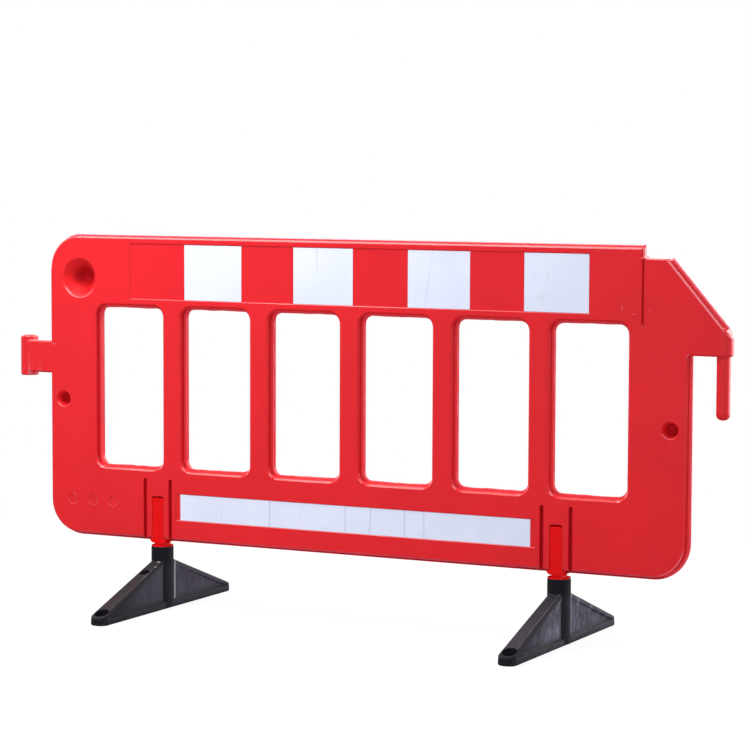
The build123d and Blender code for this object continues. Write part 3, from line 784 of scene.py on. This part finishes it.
# Film, rubber and steel
def reflective_film():
    """White reflective film: fine bead grain, faint grey clouds and dirt, and lilac lines of painted shade
    in its creases.
    """
    material, tree, shader = new_material("reflective_film")
    place = rest_position(tree)
    clouds = remap(tree, noise(tree, place, *FILM_CLOUD_GRAIN), *FILM_CLOUD_RAMP)
    # Painted shade: the films grow darker towards the bottom
    low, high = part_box("front_film_4")
    lower = remap(tree, axis_value(tree, place, "Z"), high.z, low.z, 0.0, FILM_LOW_SHADE)
    shade = maths(tree, "ADD", clouds, lower)
    tree.links.new(mix_colour(tree, shade, FILM_WHITE, FILM_SHADE), shader.inputs["Base Color"])
    specks = remap(tree, noise(tree, place, *FILM_SPECK_GRAIN), *FILM_SPECK_RAMP)
    repaint(tree, shader, specks, FILM_DIRT)
    # Lilac painted shade along the creases; the same attribute also darkens the film's edge
    crease = add_node(tree, "Attribute", attribute_name="crease").outputs["Fac"]
    repaint(tree, shader, crease, FILM_CREASE_SHADE)
    for x, z, half_x, half_z, turn, strength in FILM_SMUDGES:
        smudge = mark(tree, (x, low.y, z), (half_x, half_x, half_z), turn, strength)
        repaint(tree, shader, smudge, FILM_STAIN)
    x, z, half_x, half_z = FILM_FOLD
    for drop, strength, colour in (
        (0.0, FILM_FOLD_LIGHT, FILM_GLINT),
        (2 * half_z, FILM_FOLD_SHADE, FILM_CREASE_SHADE),
    ):
        fold = mark(tree, (x, low.y, z - drop), (half_x, half_x, half_z), 0.0, strength)
        repaint(tree, shader, fold, colour)
    tree.links.new(remap(tree, clouds, *FILM_ROUGHNESS_RAMP), shader.inputs["Roughness"])
    beads = noise(tree, place, *FILM_BEAD_GRAIN)
    tree.links.new(bump(tree, beads, *FILM_BEAD_RELIEF), shader.inputs["Normal"])
    shader.inputs["Specular IOR Level"].default_value = FILM_SPECULAR
    return material


# What the feet's colours go by: the place, also from the foot's own axis, which foot it is, and the mottle
FootSpot = namedtuple("FootSpot", "place x y z across along right_foot mottle")


def foot_spot(tree):
    """Give the place and mottle that the feet's colours go by."""
    place = rest_position(tree)
    x, y, z = (axis_value(tree, place, axis) for axis in "XYZ")
    across = maths(tree, "SUBTRACT", x, remap(tree, x, *BETWEEN_FEET, -FOOT_X, FOOT_X))
    right_foot = remap(tree, x, *BETWEEN_FEET)
    return FootSpot(place, x, y, z, across, absolute(tree, y), right_foot, noise(tree, place, *MOTTLE_GRAIN))


def rubber_side(tree, at):
    """Give the colour of the feet's sides: grey streaks, a black flange in front and a painted highlight
    behind the boss.
    """
    side = mix_colour(tree, remap(tree, at.mottle, *SIDE_MOTTLE_RAMP), RUBBER_SIDE, RUBBER_BLACK)
    streaks = noise(tree, rest_position(tree, STREAK_STRETCH), *STREAK_GRAIN)
    blotches = noise(tree, rest_position(tree, BLOTCH_STRETCH), *BLOTCH_GRAIN)
    film = maths(
        tree, "ADD", remap(tree, streaks, *SIDE_STREAK_RAMP), remap(tree, blotches, *SIDE_BLOTCH_RAMP)
    )
    film = product(tree, film, remap(tree, at.right_foot, 0.0, 1.0, SIDE_LEFT_DUST, 1.0))
    side = mix_colour(tree, film, side, RUBBER_DUST_AND_HIGHLIGHT)
    dusty = product(
        tree,
        remap(tree, at.y, *SIDE_ALONG_RAMP),
        remap(tree, at.z, *SIDE_HEIGHT_RAMP),
        remap(tree, at.along, *SIDE_PILLAR_RAMP),
    )
    side = mix_colour(tree, dusty, RUBBER_BLACK, side)

    past_flat = maths(tree, "MAXIMUM", maths(tree, "SUBTRACT", at.along, RIDGE_FLAT), 0.0)
    ridge = maths(tree, "SUBTRACT", RIDGE_TOP, product(tree, past_flat, RIDGE_FALL))
    below = maths(tree, "SUBTRACT", ridge, at.z)
    flange = remap(tree, below, RIDGE_DEPTH + RIDGE_FADE, RIDGE_DEPTH, 0.0, FLANGE_TINT)
    flange = product(tree, flange, remap(tree, at.y, *FLANGE_FRONT_RAMP))
    side = mix_colour(tree, flange, side, RUBBER_BLACK)

    # Painted highlight on the moulded edge behind the boss
    off_pillar_edge = absolute(tree, maths(tree, "SUBTRACT", at.y, PILLAR_EDGE_Y))
    pillar_highlight = remap(tree, off_pillar_edge, PILLAR_EDGE_WIDTH, PILLAR_EDGE_WIDTH / 2, 0.0, PILLAR_EDGE_HIGHLIGHT)
    pillar_highlight = product(tree, pillar_highlight, remap(tree, at.z, *PILLAR_EDGE_BOTTOM_RAMP))
    return mix_colour(tree, pillar_highlight, side, RUBBER_EDGE_HIGHLIGHT)


def rubber_top(tree, at):
    """Give the colour of the feet's tops: brown dust that ends at a painted highlight line, black beyond it.
    """
    dust = mix_colour(tree, at.right_foot, RUBBER_TOP_LEFT, RUBBER_TOP_RIGHT)
    top = mix_colour(tree, remap(tree, at.mottle, *TOP_MOTTLE_RAMP), dust, RUBBER_BLACK)
    clean = remap(tree, at.across, RIDGE_LINE, RIDGE_LINE + RIDGE_LINE_WIDTH, 0.0, TOP_CLEAN_TINT)
    top = mix_colour(tree, clean, top, RUBBER_BLACK)
    top = mix_colour(tree, remap(tree, at.along, *TOP_BOSS_RAMP), top, RUBBER_BLACK)
    # Painted highlight along the ridge's line
    off_line = absolute(tree, maths(tree, "SUBTRACT", at.across, RIDGE_LINE))
    line = remap(tree, off_line, RIDGE_LINE_WIDTH, 0.0, 0.0, TOP_LINE_HIGHLIGHT)
    line = product(tree, line, remap(tree, at.mottle, *TOP_LINE_MOTTLE_RAMP))
    top = mix_colour(tree, line, top, RUBBER_DUST_AND_HIGHLIGHT)
    return mix_colour(tree, remap(tree, at.z, *TOP_TIP_RAMP), RUBBER_BLACK, top)


def foot_rubber():
    """Black recycled rubber: brown dust on the ridge, grey streaks down the sides, clean black boss, painted
    shade in its holes and along the ground.
    """
    material, tree, shader = new_material("foot_rubber")
    at = foot_spot(tree)
    rounded = soft_normal(tree, RUBBER_EDGE_RADIUS)
    upward = axis_value(tree, true_normal(tree), "Z")
    body = mix_colour(tree, remap(tree, upward, *TOP_RAMP), rubber_side(tree, at), rubber_top(tree, at))
    body = mix_colour(tree, remap(tree, at.z, *BOSS_RAMP), body, RUBBER_BLACK)

    # Pale rubbed edges, strengthened on the rear slope as painted light over the shade line there
    rubbed_and_lit = product(
        tree,
        edge_mask(tree, rounded),
        remap(tree, at.mottle, *RUBBED_AND_LIT_MOTTLE_RAMP),
        remap(tree, at.y, *REAR_EDGE_LIGHT_RAMP),
    )
    body = mix_colour(tree, rubbed_and_lit, body, RUBBER_DUST_AND_HIGHLIGHT)
    chips = remap(tree, noise(tree, at.place, *CHIP_GRAIN), *CHIP_RAMP)
    body = mix_colour(tree, chips, body, RUBBER_CHIP)
    for (chip_x, chip_y, chip_z), half_sizes in FOOT_CHIPS:
        chip = mark(tree, (chip_x - FOOT_X, chip_y, chip_z), half_sizes, 0.0, CHIP_TINT)
        body = mix_colour(tree, chip, body, RUBBER_CHIP)

    # Painted shade inside the holes
    slope_hole = remap(tree, at.x, *BETWEEN_FEET, -SLOPE_HOLE_Y, SLOPE_HOLE_Y)
    for along, hole, radius in (
        (at.along, TIP_HOLE_Y, TIP_HOLE_RADIUS),
        (at.y, slope_hole, SLOPE_HOLE_RADIUS),
    ):
        away = flat_distance(tree, X=at.across, Y=maths(tree, "SUBTRACT", along, hole))
        body = mix_colour(tree, remap(tree, away, radius, HOLE_CORE * radius), body, RUBBER_PAINTED_SHADE)
    # Painted contact shadow along the ground
    body = mix_colour(tree, remap(tree, at.z, *GROUND_SHADE_RAMP), body, RUBBER_PAINTED_SHADE)

    grain = noise(tree, at.place, *RUBBER_GRAIN)
    tree.links.new(body, shader.inputs["Base Color"])
    tree.links.new(remap(tree, grain, *RUBBER_ROUGHNESS_RAMP), shader.inputs["Roughness"])
    tree.links.new(bump(tree, grain, *RUBBER_RELIEF, rounded), shader.inputs["Normal"])
    shader.inputs["Specular IOR Level"].default_value = RUBBER_SPECULAR
    return material


def fastener_steel():
    """Zinc-plated steel with a cloudy passivated surface."""
    material, tree, shader = new_material("fastener_steel")
    place = rest_position(tree)
    clouds = noise(tree, place, *ZINC_CLOUD_GRAIN)
    tree.links.new(mix_colour(tree, clouds, ZINC_LIGHT, ZINC_DARK), shader.inputs["Base Color"])
    tree.links.new(remap(tree, clouds, *ZINC_ROUGHNESS_RAMP), shader.inputs["Roughness"])
    grain = noise(tree, place, *ZINC_GRAIN)
    tree.links.new(bump(tree, grain, *ZINC_RELIEF), shader.inputs["Normal"])
    shader.inputs["Metallic"].default_value = 1.0
    return material


materials = {
    "panel_plastic": panel_plastic(),
    "peg_plastic": peg_plastic(),
    "reflective_film": reflective_film(),
    "foot_rubber": foot_rubber(),
    "fastener_steel": fastener_steel(),
}


def dress(obj, slot):
    """Give a piece the one material of its slot."""
    obj.data.materials.clear()
    obj.data.materials.append(materials[slot])


for subpart in frame["record"]["subparts"]:
    dress(frame["nodes"][subpart["node"]], subpart["material_slot"])


def add_piece(name, points, faces, slot, body):
    """Make a mesh piece that rides on a body and takes its finish from a slot."""
    mesh = bpy.data.meshes.new(name)
    mesh.from_pydata(points, [], faces)
    mesh.validate()
    piece = bpy.data.objects.new(name, mesh)
    bpy.context.scene.collection.objects.link(piece)
    dress(piece, slot)
    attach(piece, body)
    return piece


# Films with their creases
def even_steps(low, high, cell):
    """Give evenly spaced values from low to high, about one cell apart."""
    count = max(1, round((high - low) / cell))
    return [low + (high - low) * i / count for i in range(count + 1)]


def crease_place(crease, share):
    """Give a crease's place along X at a share of the film's height."""
    return crease.x + crease.lean * (share - 0.5) + crease.bow * ((2 * share - 1) ** 2 - 0.5)


def crease_strength(crease, share):
    """Give 1 between a crease's two ends, falling off softly outside them."""
    outside = max(crease.start - share, share - crease.end, 0.0)
    return math.exp(-((outside / CREASE_END_FADE) ** 2))


def film_columns(half_length, creases):
    """Give the film's grid columns, each an even place or a crease with a distance from it, in order."""
    inner = half_length - FILM_EDGE
    columns = [(-half_length, None), (half_length, None)]
    for x in even_steps(-inner, inner, FILM_CELL):
        room = [abs(x - c.x) - abs(c.lean) / 2 - abs(c.bow) - CREASE_LINES * CREASE_CELL for c in creases]
        at_end = abs(x) > inner - FILM_CELL / 2
        if at_end or all(r > FILM_CELL / 4 for r in room):
            columns.append((x, None))
    for crease in creases:
        columns += [(k * CREASE_CELL, crease) for k in range(-CREASE_LINES, CREASE_LINES + 1)]
    return sorted(columns, key=lambda c: c[0] + (c[1].x if c[1] else 0.0))


def add_film(node, creases):
    """Lay a film with its creases in place of a flat one."""
    low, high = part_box(node)
    middle = (low + high) / 2
    outward = math.copysign(1.0, middle.y)
    seat = min(abs(low.y), abs(high.y)) * outward
    thickness = high.y - low.y
    columns = film_columns((high.x - low.x) / 2, creases)
    height = high.z - low.z
    edge = FILM_EDGE / height
    rows = [0.0] + even_steps(edge, 1.0 - edge, FILM_CELL / height) + [1.0]
    front, back, shades = [], [], []
    for place, own_crease in columns:
        at_side = place in (columns[0][0], columns[-1][0]) and own_crease is None
        for share in rows:
            x = place + (crease_place(own_crease, share) if own_crease else 0.0)
            z = low.z + share * height
            where = Vector((middle.x + x, middle.y, z))
            relief = FILM_WAVE * ripple.noise(where / FILM_WAVE_PITCH)
            shade = FILM_EDGE_SHADE if at_side or share in (0.0, 1.0) else 0.0
            for crease in creases:
                near = math.exp(-(((x - crease_place(crease, share)) / CREASE_HALF_WIDTH) ** 2))
                near *= crease_strength(crease, share)
                relief += crease.fold * near
                shade = max(shade, crease.shade * near)
            front.append((middle.x + x, seat + outward * (thickness + relief), z))
            back.append((middle.x + x, seat, z))
            shades.append(shade)
    across, along = len(rows), len(columns)
    count = across * along
    faces = []
    for i in range(along - 1):
        for j in range(across - 1):
            a, b = i * across + j, (i + 1) * across + j
            faces.append((a, b, b + 1, a + 1))
    smooth_count = len(faces)
    faces += [tuple(count + v for v in reversed(face)) for face in faces]
    border = [i * across for i in range(along)]
    border += [(along - 1) * across + j for j in range(1, across)]
    border += [i * across + across - 1 for i in range(along - 2, -1, -1)]
    border += list(range(across - 2, 0, -1))
    rim = list(zip(border, border[1:] + border[:1]))
    faces += [(b, a, count + a, count + b) for a, b in rim]
    if outward > 0:
        faces = [tuple(reversed(face)) for face in faces]
    piece = add_piece(f"{node}_sheet", front + back, faces, "reflective_film", "fence")
    piece.data.polygons.foreach_set("use_smooth", [i < smooth_count for i in range(len(faces))])
    sharp = {frozenset(pair) for pair in rim}
    for mesh_edge in piece.data.edges:
        mesh_edge.use_edge_sharp = frozenset(mesh_edge.vertices) in sharp
    layer = piece.data.attributes.new("crease", "FLOAT", "POINT")
    layer.data.foreach_set("value", shades + shades)
    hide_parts(node)


for film_node, film_creases in FILM_CREASES.items():
    add_film(film_node, film_creases)


# Flash on the window rims
def rounded_rectangle(half_width, half_height, radius, step):
    """Give points and outward directions round a rounded rectangle."""
    arc_steps = max(2, round(radius * math.pi / 2 / step))
    ring = []
    for quarter in range(4):
        sign_x = (1, -1, -1, 1)[quarter]
        sign_z = (1, 1, -1, -1)[quarter]
        centre = Vector((sign_x * (half_width - radius), 0.0, sign_z * (half_height - radius)))
        for i in range(arc_steps + 1):
            angle = (quarter + i / arc_steps) * math.pi / 2
            out = Vector((math.cos(angle), 0.0, math.sin(angle)))
            ring.append((centre + radius * out, out))
        flat = half_height - radius if quarter % 2 else half_width - radius
        start, out = ring[-1]
        run = Vector((-out.z, 0.0, out.x))
        flat_steps = round(2 * flat / step)
        ring += [(start + run * (2 * flat * i / flat_steps), out) for i in range(1, flat_steps)]
    return ring


def flash_height(place):
    """Give the uneven height of the fin at a place."""
    wave = FLASH_WAVE * ripple.noise(place / FLASH_WAVE_PITCH)
    ragged = FLASH_RAGGED * ripple.noise(place / FLASH_STEP / 2)
    share = min(1.0, max(0.0, FLASH_MIDDLE + wave + ragged))
    return FLASH_LEAST + (FLASH_MOST - FLASH_LEAST) * share


def add_flash(opening):
    """Run a thin uneven fin round a window's rim, where the moulding was trimmed."""
    low, high = (Vector(corner) for corner in opening["box_m"])
    middle = (low + high) / 2
    half_width, half_height = ((high[k] - low[k]) / 2 + WINDOW_MARGIN for k in (0, 2))
    ring = rounded_rectangle(half_width, half_height, WINDOW_RIM_RADIUS, FLASH_STEP)
    points = []
    for place, out in ring:
        base = Vector((middle.x, 0.0, middle.z)) + place
        height = flash_height(base)
        for depth, inward in (
            (-FLASH_THICKNESS / 2, -FLASH_ROOT),
            (-FLASH_EDGE / 2, height),
            (FLASH_EDGE / 2, height),
            (FLASH_THICKNESS / 2, -FLASH_ROOT),
        ):
            points.append(base - inward * out + Vector((0.0, depth, 0.0)))
    count = len(ring)
    faces = []
    for i in range(count):
        for k in range(4):
            a, b = 4 * i + k, 4 * i + (k + 1) % 4
            c, d = 4 * ((i + 1) % count) + (k + 1) % 4, 4 * ((i + 1) % count) + k
            faces.append((a, d, c, b))
    add_piece(f"{opening['name']}_flash", points, faces, "panel_plastic", "fence")


for opening in frame["record"]["physics"]["openings"]:
    if opening["name"].startswith("window"):
        add_flash(opening)


# Studio: floor, world, lamps and camera
def add_floor():
    """Lay a pale floor that the camera sees as white, apart from the shadow near the object."""
    half = FLOOR_SIZE / 2
    corners = [(-half, -half), (half, -half), (half, half), (-half, half)]
    mesh = bpy.data.meshes.new("floor")
    mesh.from_pydata([(x, y, -FLOOR_DROP) for x, y in corners], [], [(0, 1, 2, 3)])
    floor = bpy.data.objects.new("floor", mesh)
    bpy.context.scene.collection.objects.link(floor)
    material = bpy.data.materials.new("floor")
    material.use_nodes = True
    tree = material.node_tree
    tree.nodes.clear()
    path = add_node(tree, "LightPath")
    seen = path.outputs["Is Camera Ray"]
    away = length(tree, rest_position(tree))
    far = product(tree, seen, remap(tree, away, *FLOOR_FADE_RAMP))
    mirror_far = remap(tree, away, *FLOOR_MIRROR_RAMP)
    mirrored = mix_colour(tree, mirror_far, FLOOR_MIRROR_NEAR, FLOOR_MIRROR_FAR)
    lit = mix_colour(tree, path.outputs["Is Glossy Ray"], FLOOR_BOUNCE, mirrored)
    paint = add_node(tree, "BsdfDiffuse", {"Color": mix_colour(tree, seen, lit, FLOOR_SEEN)})
    glow = add_node(tree, "Emission", {"Color": WHITE, "Strength": product(tree, seen, FLOOR_GLOW)})
    near = add_node(tree, "AddShader", {0: paint.outputs[0], 1: glow.outputs[0]})
    plain = add_node(tree, "Emission", {"Color": WHITE})
    both = add_node(tree, "MixShader", {0: far, 1: near.outputs[0], 2: plain.outputs[0]})
    add_node(tree, "OutputMaterial", {"Surface": both.outputs[0]})
    mesh.materials.append(material)


def add_world():
    """Surround the scene with soft light, dimmest at the front left, that the camera sees as plain white."""
    world = bpy.data.worlds.new("studio")
    world.use_nodes = True
    tree = world.node_tree
    tree.nodes.clear()
    direction = add_node(tree, "TexCoord").outputs["Generated"]
    behind = remap(tree, axis_value(tree, direction, "Y"), *WORLD_BEHIND_RAMP)
    rightward = remap(tree, axis_value(tree, direction, "X"), *WORLD_RIGHT_RAMP)
    path = add_node(tree, "LightPath")
    ahead = mix_colour(tree, rightward, AMBIENT_LEFT, AMBIENT_RIGHT)
    soft = mix_colour(tree, behind, ahead, AMBIENT_BACK)
    mirrored = mix_colour(tree, behind, MIRROR_FRONT, MIRROR_BACK)
    light = mix_colour(tree, path.outputs["Is Glossy Ray"], soft, mirrored)
    colour = mix_colour(tree, path.outputs["Is Camera Ray"], light, WHITE)
    background = add_node(tree, "Background", {"Color": colour})
    add_node(tree, "OutputWorld", {"Surface": background.outputs[0]})
    bpy.context.scene.world = world


def add_softbox(lamp):
    """Hang a rectangular lamp that faces a point."""
    light = bpy.data.lights.new(lamp.name, "AREA")
    light.shape = "RECTANGLE"
    light.size = lamp.width
    light.size_y = lamp.height
    light.energy = lamp.power
    holder = bpy.data.objects.new(lamp.name, light)
    holder.location = lamp.place
    facing = Vector(lamp.target) - Vector(lamp.place)
    holder.rotation_mode = "QUATERNION"
    holder.rotation_quaternion = facing.to_track_quat("-Z", "Y")
    bpy.context.scene.collection.objects.link(holder)


def add_camera():
    """Set the camera where the photograph was taken from."""
    lens = bpy.data.cameras.new("camera")
    lens.sensor_width = SENSOR_MM
    lens.lens = FOCAL_PIXELS / PHOTO_PIXELS * SENSOR_MM
    holder = bpy.data.objects.new("camera", lens)
    level_right = Vector((math.cos(CAMERA_YAW), math.sin(CAMERA_YAW), 0.0))
    forward = Vector((
        -math.sin(CAMERA_YAW) * math.cos(CAMERA_PITCH),
        math.cos(CAMERA_YAW) * math.cos(CAMERA_PITCH),
        -math.sin(CAMERA_PITCH),
    ))
    level_up = level_right.cross(forward)
    right = math.cos(CAMERA_ROLL) * level_right + math.sin(CAMERA_ROLL) * level_up
    up = math.cos(CAMERA_ROLL) * level_up - math.sin(CAMERA_ROLL) * level_right
    turn = Matrix((right, up, -forward)).transposed()
    holder.matrix_world = Matrix.Translation(CAMERA_PLACE) @ turn.to_4x4()
    bpy.context.scene.collection.objects.link(holder)
    bpy.context.scene.camera = holder


add_floor()
add_world()
for studio_lamp in LAMPS:
    add_softbox(studio_lamp)
add_camera()
bpy.context.scene.view_settings.view_transform = "Standard"
